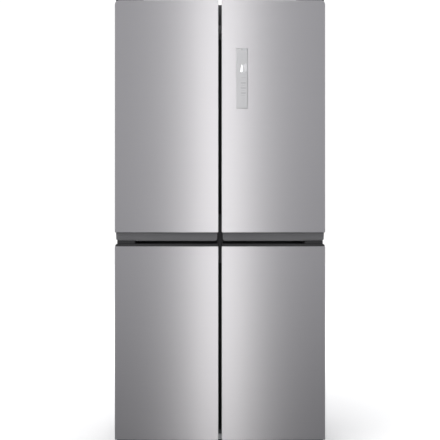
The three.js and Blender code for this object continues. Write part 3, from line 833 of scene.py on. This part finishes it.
LINER_WALL = 2
FREEZER_POST = 25  # half the wall between the two freezer cavities
STEP_WALL_Y = 126  # the freezer cavities' floor rises here, over the compressor
STEP_FLOOR_Z = 332
SHELVES = ("shelf_low", "shelf_high", "crisper_cover")
REST_GAP = 0.4  # between a shelf or a drawer and what it rests on


def cavity(x0, x1, ceiling, floor_line, back, corner=14):
    """A moulded compartment with its wall's thickness. floor_line holds the floor's (y, z) from the mouth
    to the back."""
    turns = 4
    stations = [(y, z, 0.0) for y, z in floor_line]  # y, the floor's height, and the inset
    for i in range(1, turns + 1):
        a = math.pi / 2 * i / turns
        stations.append((back - corner * (1 - math.sin(a)), floor_line[-1][1], corner * (1 - math.cos(a))))

    def ring(y, floor, inset, wall=0.0):
        radius = max(corner - inset, 2) + wall
        return upright(y, Vector((x0, 0, floor)), Vector((x1, 0, ceiling)), inset - wall, radius, steps=5)

    rings = [ring(*station) for station in reversed(stations)]
    rings.append(ring(*stations[0], LINER_WALL))
    rings += [ring(y + LINER_WALL, floor, inset, LINER_WALL) for y, floor, inset in stations[1:]]
    return loft(rings)


def ledge(wall_x, way, y0, y1, top):
    """A rounded ledge moulded on a wall. It reaches from the wall towards `way`, which is -1 or 1."""
    x0, x1 = sorted((wall_x - way, wall_x + 8 * way))
    return soft_box((x0, y0, top - 6), (x1, y1, top), "y", 2.5, 1.5)


def fridge_liner():
    """The fresh food compartment: rounded walls, and a ledge on each side for each shelf."""
    low, high = box("fridge_liner")
    wall = high.x - LINER_WALL
    floor = low.z + LINER_WALL
    parts = [cavity(-wall, wall, high.z - LINER_WALL, [(low.y, floor), (low.y + 3, floor)],
                    high.y - LINER_WALL, 18)]
    for name in SHELVES:
        shelf_low, shelf_high = box(name)
        for side in SIDES.values():
            parts.append(ledge(side * wall, -side, shelf_low.y, shelf_high.y, shelf_low.z - REST_GAP))
    box_low, box_high = box("crisper_right")
    for side in SIDES.values():
        for near in (box_low.x + 6, box_high.x - 14):
            x0, x1 = sorted((side * near, side * (near + 8)))
            parts.append(soft_box((x0, box_low.y + 8, floor - 1),
                                  (x1, box_high.y - 8, box_low.z - REST_GAP), "y", 2, 1))
    piece("fridge_compartment", together(*parts), "liner", ["fridge_liner"], angle=40)


def freezer_liner():
    """Two freezer compartments whose floors step up over the machine compartment, with drawer runners."""
    low, high = box("freezer_liner")
    outer = high.x - LINER_WALL
    floor = low.z + LINER_WALL
    bend = 10
    line = [(low.y, floor), (STEP_WALL_Y - bend, floor)]
    for i in range(1, 4):
        a = math.pi / 6 * i
        line.append((STEP_WALL_Y - bend * (1 - math.sin(a)), floor + bend * (1 - math.cos(a))))
    for i in range(4):
        a = math.pi / 6 * i
        line.append((STEP_WALL_Y + bend * (1 - math.cos(a)), STEP_FLOOR_Z - bend * (1 - math.sin(a))))
    parts = []
    for side in SIDES.values():
        x0, x1 = sorted((side * FREEZER_POST, side * outer))
        parts.append(cavity(x0, x1, high.z - LINER_WALL, line, high.y - LINER_WALL))
        for level in ("low", "high"):
            box_low, box_high = box(f"freezer_drawer_right_{level}")
            for wall_x, way in ((side * FREEZER_POST, side), (side * outer, -side)):
                parts.append(ledge(wall_x, way, box_low.y + 10, box_high.y - 10, box_low.z - REST_GAP))
    piece("freezer_compartments", together(*parts), "liner", ["freezer_liner"], angle=40)


def gap_shade_strips():
    """Near-black strips on the centre post and the cross bar, which paint the shade deep in the door gaps,
    and the guide piece above them.
    """
    face = box("front_frame")[0].y
    half = 9.2
    lower_seal = box("lower_right_gasket")
    upper_seal = box("upper_right_gasket")
    cross_z = (lower_seal[1].z + 3, upper_seal[0].z - 3)
    bars = [
        ("post_strip_upper", -half, half, 918, 1588, "shadow_paint"),
        ("post_guide", -half, half, 1611, 1642, "guide"),
        ("post_strip_lower", -half, half, lower_seal[0].z + 10, 730, "shadow_paint"),
        ("right_cross_shade", 12, 316, *cross_z, "shadow_paint"),
        ("left_cross_shade", -316, -12, *cross_z, "shadow_paint"),
    ]
    # the near-black strips stand in for the shade deep in the gaps between the doors
    for name, x0, x1, z0, z1, look in bars:
        proud = 5 if look == "guide" else 3
        piece(name, soft_box((x0, face - proud, z0), (x1, face + 1, z1), "y", 2, 0.8), look)


def air_duct():
    """The cold air duct, with slats in its outlets and a ribbed lamp lens."""
    dress("air_duct", "liner", 1.2, 3)
    duct_y = box("air_duct")[0].y
    cover_y = duct_y + 4
    slats = []
    for z in (1180, 1400, 1560):
        for side in SIDES.values():
            for i in range(5):
                x = side * 55 - 24 + 12 * i
                slats.append(soft_box((x - 0.9, cover_y + 0.6, z - 0.5), (x + 0.9, cover_y + 8.2, z + 14.5),
                                      "z", 0.8, 0.2))
    piece("duct_slats", together(*slats), "liner")
    half, z0, z1 = 29.5, 1258, 1332
    lens = [soft_box((-half, duct_y - 1.5, z0), (half, cover_y + 0.5, z1), "y", 9, 1.5)]
    for i in range(9):
        z = z0 + 9 + 7 * i
        lens.append(soft_box((6 - half, duct_y - 2.3, z - 1.2), (half - 6, duct_y, z + 1.2), "x", 1.1, 1))
    piece("lamp_lens", together(*lens), "lamp")


def glass_shelf(name):
    """A glass plate held in a white front rail and a back stop."""
    low, high = box(name)
    plate = soft_box((low.x + 1, low.y + 4, low.z), (high.x - 1, high.y - 3, low.z + 4), "z", 6, 0.5)
    piece(name + "_glass", plate, "glass", [name])
    rails = [soft_box(low, (high.x, low.y + 12, low.z + 14), "x", 4, 1.5)]
    for i in range(-9, 10):
        x = 34 * i
        rails.append(soft_box((x - 1, low.y + 11, low.z + 4.2), (x + 1, low.y + 20, low.z + 6),
                              "z", 0.8, 0.3))
    rails.append(soft_box((low.x, high.y - 8, low.z), (high.x, high.y, high.z), "x", 3, 1.5))
    piece(name + "_rails", together(*rails), "liner", angle=50)


def drawer(name):
    """A clear drawer: a drafted tray, and a framed front panel with a scooped grip."""
    low, high = box(name)
    bm = tray(low + Vector((0, 6, 0)), high - Vector((0, 0, 18)), wall=2.4, corner=16, draft=3, rim=3,
              floor_round=8)
    piece(name + "_tray", bm, "clear", [name], name, angle=40)

    panel = ((1, 8), (0, 7), (0, 2), (0.6, 0.6), (2, 0), (8, 0), (9.5, 1.4))  # inset and depth
    rings = [upright(low.y + depth, low, high, inset, max(12 - inset, 2)) for inset, depth in panel]
    front = piece(name + "_front", loft(rings), "frosted", body=name, angle=40)
    middle = (low.x + high.x) / 2
    scoop = soft_box((middle - 58, low.y - 2, high.z - 38), (middle + 58, low.y + 5.4, high.z - 13),
                     "y", 10, 1.5)
    carve(front, scoop)
    pull = soft_box((middle - 57, low.y + 0.4, high.z - 18), (middle + 57, low.y + 5.8, high.z - 12),
                    "x", 2.4, 1)
    piece(name + "_pull", pull, "liner", body=name)


def hinges(label, side):
    """Hinge plates in dark paint, their screws, and the hood over the top hinge."""
    dress(f"top_hinge_{label}", "hinge", 0.4)
    dress(f"middle_hinge_{label}", "hinge", 0.5)
    dress(f"bottom_hinge_{label}", "hinge", 0.5)
    dress(f"top_hinge_cover_{label}", "black", 2.2, 3)
    low, high = box(f"top_hinge_cover_{label}")
    hood_screw = screw_head(((low.x + high.x) / 2, high.y - 26, high.z - 3), "+z", 4.5)
    piece(f"hood_screw_{label}", hood_screw, "black")
    leg_y = box(f"middle_hinge_{label}")[1].y - 3.1
    low_leg_y = box(f"bottom_hinge_{label}")[1].y - 8.6
    places = [
        (336, leg_y, 820, 3.6), (336, leg_y, 801.5, 3.2),
        (372, leg_y, 820, 3.6), (372, leg_y, 801.5, 3.2),
        (338, low_leg_y, 57, 3.6), (372, low_leg_y, 57, 3.6),
    ]
    screws = [screw_head((side * x, y, z), "-y", radius) for x, y, z, radius in places]
    piece(f"hinge_screws_{label}", together(*screws), "bolt")


def foot(label):
    """A levelling foot: a wide pad with a hexagonal collar, on a threaded stem."""
    name = f"foot_{label}"
    low, high = box(name)
    centre = ((low.x + high.x) / 2, (low.y + high.y) / 2, 0)
    pad = lathe([(0, 0), (19, 0), (21.2, 0.7), (22, 2.2), (22, 8.6), (20.8, 10.2), (13, 13.4), (12, 14.6),
                 (11.6, 15), (0, 15)], centre, steps=48)
    collar = lathe([(0, 14), (10.6, 14), (11.2, 14.8), (11.2, 22.6), (10, 24), (0, 24)], centre, steps=6)
    start, pitch, turns = 23.5, 1.75, 25
    thread = [(0, start)]
    for i in range(turns):
        z = start + pitch * i
        thread += [(4.2, z), (4.2, z + 0.3), (4.95, z + 0.8), (4.95, z + 1.0), (4.2, z + 1.5)]
    thread += [(4.0, 67.6), (3.4, 68), (0, 68)]
    stem = lathe(thread, centre, steps=24)
    piece(name + "_pad", together(pad, collar), "foot", [name], name, angle=30)
    piece(name + "_stem", stem, "bolt", body=name, angle=30)


def roller(label):
    """A rear roller: a rounded tread on a dished wheel."""
    name = f"roller_{label}"
    low, high = box(name)
    half = (high.x - low.x) / 2
    outer = (high.z - low.z) / 2
    bore = 4.4
    one_side = [
        (bore, half), (bore + 3, half), (bore + 3.4, half - 3), (outer - 6, half - 4),
        (outer - 4, half - 0.5), (outer - 1.5, half - 0.5), (outer, half - 2.5),
        (outer, 1.6), (outer - 1.2, 1),
    ]
    profile = [(radius, -x) for radius, x in one_side] + one_side[::-1]
    wheel = lathe(profile, (low + high) / 2, "x", steps=48, closed=True)
    piece(name + "_wheel", wheel, "foot", [name], name)


def pressed_rib(x0, x1, z0, z1, y):
    """A shallow rib pressed out of a sheet, with sloping sides and round ends."""
    low, high = Vector((x0, 0, z0)), Vector((x1, 0, z1))
    radius = min(x1 - x0, z1 - z0) / 2.05
    section = ((0, -0.5), (0, 0), (1.75, 0.84), (5, 2.16), (7, 2.4))  # inset and height
    return loft([upright(y + height, low, high, inset, radius - inset, steps=8) for inset, height in section])


def back():
    """The zinc back: pressed ribs, foam plugs, screws, and louvre hoods and a gland on the lower cover."""
    dress("back_panel", "zinc", 0)
    dress("machine_cover", "zinc", 0)
    low, high = box("back_panel")
    y = high.y
    ribs = [pressed_rib(x - 24, x + 24, low.z + 90, high.z - 90, y) for x in (-210, 210)]
    ribs += [pressed_rib(-140, 140, z - 24, z + 24, y) for z in (520, 1028, 1536)]
    piece("back_panel_ribs", together(*ribs), "zinc", angle=30)

    plug = [(0, -0.5), (15, -0.5), (15, 0.8), (13.5, 1.8), (9, 2.2), (8, 1.2), (0, 1.2)]
    plugs = [lathe(plug, (x, y, 1280), "y") for x in (-70, 70)]
    piece("foam_plugs", together(*plugs), "black")

    rows = 7
    heights = [low.z + 12 + (high.z - low.z - 24) * i / (rows - 1) for i in range(rows)] + [66, 200, 322]
    x = high.x - 9
    screws = [screw_head((side * x, y - 0.2, z), "+y", 4) for side in SIDES.values() for z in heights]
    piece("back_screws", together(*screws), "bolt")

    hood = [(-0.4, 12), (1.8, 7), (2.6, 3), (2.6, 1.4), (1.9, 1.4), (1.1, 6.4), (-0.6, 9.6)]
    hoods = []
    for row in range(6):
        section = [(y + out, 120 + 22 * row + up) for out, up in hood]
        for ends in ((-332, -58), (58, 332)):
            hoods.append(loft([[(x, *point) for point in section] for x in ends]))
    piece("louvre_hoods", together(*hoods), "zinc", angle=40)

    gland = [(4.6, -1), (11.4, -1), (12.4, 0.4), (12.4, 1.4), (11.2, 2.6), (7.2, 3), (4.9, 3), (4.6, 2.4)]
    piece("lead_gland", lathe(gland, (-350, y, 84), "y", closed=True), "foot")


def serpentine(x0, x1, y, z0, pitch, runs):
    """The centre line of a flat coil: straight runs along x joined by half turns."""
    points = []
    radius = pitch / 2
    steps = 8
    for i in range(runs):
        z = z0 + i * pitch
        start, end = (x0, x1) if i % 2 == 0 else (x1, x0)
        points.append((start, y, z))
        points.append((end, y, z))
        if i < runs - 1:
            way = 1 if i % 2 == 0 else -1
            for k in range(1, steps):
                a = math.pi * k / steps
                points.append((end + way * radius * math.sin(a), y, z + radius * (1 - math.cos(a))))
    return points


def compressor():
    """The compressor's can with its seam, relay and stub, on rubber mounts."""
    x, y = 190, 240
    low = box("compressor")[0]
    floor = low.z
    shell = [(0, 18), (50, 18), (62, 21), (70, 28), (74, 38), (75, 60), (75, 86), (78, 87.5), (78, 92.5),
             (75, 94), (75, 118), (73, 132), (67, 146), (56, 157), (40, 165), (20, 170), (0, 171)]
    can = lathe(shell, (x, y, floor), steps=48)
    plate = soft_box((x - 90, y - 60, floor + 14), (x + 90, y + 60, floor + 20), "z", 14, 1)
    relay = soft_box((low.x, y - 25, floor + 70), (x - 62, y + 25, floor + 130), "x", 6, 3)
    bends = ((40, 40, 140), (52, 52, 150), (55, 54, 164), (55, 54, 171))
    stub = tube([(x + dx, y + dy, floor + dz) for dx, dy, dz in bends], 4, up=(1, -1, 0))
    piece("compressor_can", together(can, plate, relay, stub), "compressor",
          ["compressor"], angle=40)
    mount = [(0, 0), (10, 0), (11, 2), (9, 6), (11, 10), (10, 14), (0, 14)]
    mounts = [lathe(mount, (x + dx, y + dy, floor), steps=24) for dx in (-74, 74) for dy in (-45, 45)]
    piece("compressor_mounts", together(*mounts), "gasket")


def condenser():
    """The condenser: a flat coil with wires tied across it."""
    low, high = box("condenser_coil")
    y = (low.y + high.y) / 2
    radius = (high.y - low.y) / 2 - 0.3
    runs = 7
    pitch = (high.z - low.z - 2 * radius) / (runs - 1)
    x0, x1 = low.x + pitch / 2, high.x - pitch / 2
    coil = tube(serpentine(x0, x1, y, low.z + radius, pitch, runs), radius)
    piece("condenser_tube", coil, "tube", ["condenser_coil"], angle=40)
    count = 24
    wires = []
    for i in range(count):
        x = x0 + (x1 - x0) * (i + 0.5) / count
        wires.append(tube([(x, y - radius, low.z), (x, y - radius, high.z)], 0.7, 6))
    piece("condenser_wires", together(*wires), "tube")


def evaporator():
    """The evaporator: thin fins on a tube that runs to and fro."""
    low, high = box("evaporator")
    count = 90
    fins = []
    for i in range(count):
        x = low.x + 1 + (high.x - low.x - 2) * i / (count - 1)
        fins.append(soft_box((x - 0.25, low.y, low.z), (x + 0.25, high.y, high.z), "x", 2, 0.1, steps=1))
    line = serpentine(low.x + 14, high.x - 14, (low.y + high.y) / 2, low.z + 14, 24, 9)
    fins.append(tube(line, 4, 10))
    piece("evaporator_fins", together(*fins), "fins", ["evaporator"])


def cabinet():
    dress("cabinet_shell", "paint", 0)
    dress("base_pan", "zinc", 0.3)
    dress("front_frame", "frame", 0.5)
    dress("plinth", "black", 0.5)
    fridge_liner()
    freezer_liner()
    gap_shade_strips()
    air_duct()
    for name in SHELVES:
        glass_shelf(name)
    for label, side in SIDES.items():
        hinges(label, side)
        foot(label)
        roller(label)
        for name in (f"crisper_{label}", f"freezer_drawer_{label}_low", f"freezer_drawer_{label}_high"):
            drawer(name)
    back()
    compressor()
    condenser()
    evaporator()


# ---- stage, light and camera ----


def camera():
    """A straight frontal view from the middle of the doors' height, framed to their top and bottom."""
    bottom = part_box("lower_right_skin")[0].z
    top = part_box("upper_right_skin")[1].z
    distance = 3.3
    margin = 0.9992
    data = bpy.data.cameras.new("camera")
    data.sensor_width = 36
    data.lens = 36 * distance / ((top - bottom) * margin)
    made = bpy.data.objects.new("camera", data)
    made.location = (0, front_y * MM - distance, (bottom + top) / 2)
    made.rotation_euler = (math.pi / 2, 0, 0)
    bpy.context.scene.collection.objects.link(made)
    bpy.context.scene.camera = made


def area_light(name, place, aim, size, power, colour=(1, 1, 1)):
    data = bpy.data.lights.new(name, "AREA")
    data.shape = "RECTANGLE"
    data.size, data.size_y = size
    data.energy = power
    data.color = colour
    made = bpy.data.objects.new(name, data)
    made.location = place
    made.rotation_euler = (Vector(aim) - Vector(place)).to_track_quat("-Z", "Y").to_euler()
    bpy.context.scene.collection.objects.link(made)
    return made


def lights():
    """A tall narrow softbox behind the camera for the steel, and a broad one overhead for everything else."""
    eye = bpy.context.scene.camera.location
    key_z = eye.z + 0.45
    area_light("key_strip", (0, eye.y - 2.5, key_z), (0, 0, key_z), (0.36, 6.4), 25.5, (1.0, 0.985, 0.97))
    overhead = area_light("overhead", (-0.8, -3.2, 3.4), (0, 0, 0.9), (2.4, 1.6), 90)
    overhead.visible_glossy = False
    for side in SIDES.values():
        area_light("side_box", (side * 5.2, -4.8, 2.7), (0, 0, 1.2), (5.0, 5.2), 100)
    back_box = area_light("back_box", (0.5, 5, 3.0), (0, 0, 0.9), (3.2, 2.4), 110)
    back_box.visible_glossy = False


# What the steel mirrors, from straight down to straight up: the sine of the elevation, and a grey.
ROOM = ((-1.0, 0.06), (-0.4, 0.07), (-0.24, 0.07), (-0.15, 0.42), (-0.04, 0.49), (0.24, 0.45), (1.0, 0.56))
SIDE_GREY = (0.55, 0.55, 0.56)  # towards the room's sides the grey evens out to this
SIDE_SHARE = 0.85


def surroundings():
    """A white room: the camera sees plain white, and the steel sees a soft grey that darkens downwards."""
    world = bpy.data.worlds.new("world")
    tree = Tree(world)
    background = world.node_tree.nodes["Background"]
    where = tree.node("ShaderNodeTexCoord")
    split = tree.node("ShaderNodeSeparateXYZ")
    tree.link(where.outputs["Generated"], split.inputs["Vector"])
    height = tree.spread(split.outputs["Z"], 0, 1, from_low=-1)
    greys = tree.ramp(height, [((sine + 1) / 2, (grey, grey, 1.03 * grey)) for sine, grey in ROOM])
    aside = tree.node("ShaderNodeMath", operation="ABSOLUTE")
    tree.link(split.outputs["X"], aside.inputs[0])
    share = tree.spread(aside.outputs["Value"], 0, SIDE_SHARE, 0.3, 0.75, "SMOOTHSTEP")
    blend = tree.node("ShaderNodeMix", data_type="RGBA")
    blend.inputs["B"].default_value = (*SIDE_GREY, 1)
    tree.link(share, blend.inputs["Factor"])
    tree.link(greys, blend.inputs["A"])
    tree.link(blend.outputs["Result"], background.inputs["Color"])
    white = tree.node("ShaderNodeBackground")
    white.inputs["Color"].default_value = (1, 1, 1, 1)
    white.inputs["Strength"].default_value = 1.05
    path = tree.node("ShaderNodeLightPath")
    mix = tree.node("ShaderNodeMixShader")
    tree.link(path.outputs["Is Camera Ray"], mix.inputs["Fac"])
    tree.link(background.outputs["Background"], mix.inputs[1])
    tree.link(white.outputs["Background"], mix.inputs[2])
    tree.link(mix.outputs["Shader"], world.node_tree.nodes["World Output"].inputs["Surface"])
    bpy.context.scene.world = world


def floor():
    """A pale floor, which the steel doesn't mirror. Its glow is painted light: weak near the refrigerator,
    which leaves painted shade round and under it, and strong away from it, which whitens the floor into the
    room.
    """
    size = 14000
    bm = outline_block([(-size, -20), (size, -20), (size, 0), (-size, 0)], -size, size)
    made = as_object("floor", bm)
    look = Look("floor", Roughness=0.9)
    look.shader.inputs["Base Color"].default_value = (0.9, 0.9, 0.9, 1)
    look.shader.inputs["Emission Color"].default_value = (1, 1, 1, 1)
    distance = look.node("ShaderNodeVectorMath", operation="LENGTH")
    look.link(look.place(), distance.inputs[0])
    # painted light: the floor glows more the farther it lies from the refrigerator, and stays dimmer, in
    # painted shade, close to it
    glow = look.spread(distance.outputs["Value"], 0.12, 0.62, from_low=0.3, from_high=2.6)
    look.link(glow, look.shader.inputs["Emission Strength"])
    made.data.materials.append(look.material)
    made.visible_glossy = False


camera()
for label, side in SIDES.items():
    upper_door(f"upper_{label}", side)
    lower_door(f"lower_{label}", side)
display()
cabinet()
lights()
surroundings()
floor()
bpy.context.scene.view_settings.view_transform = "Standard"
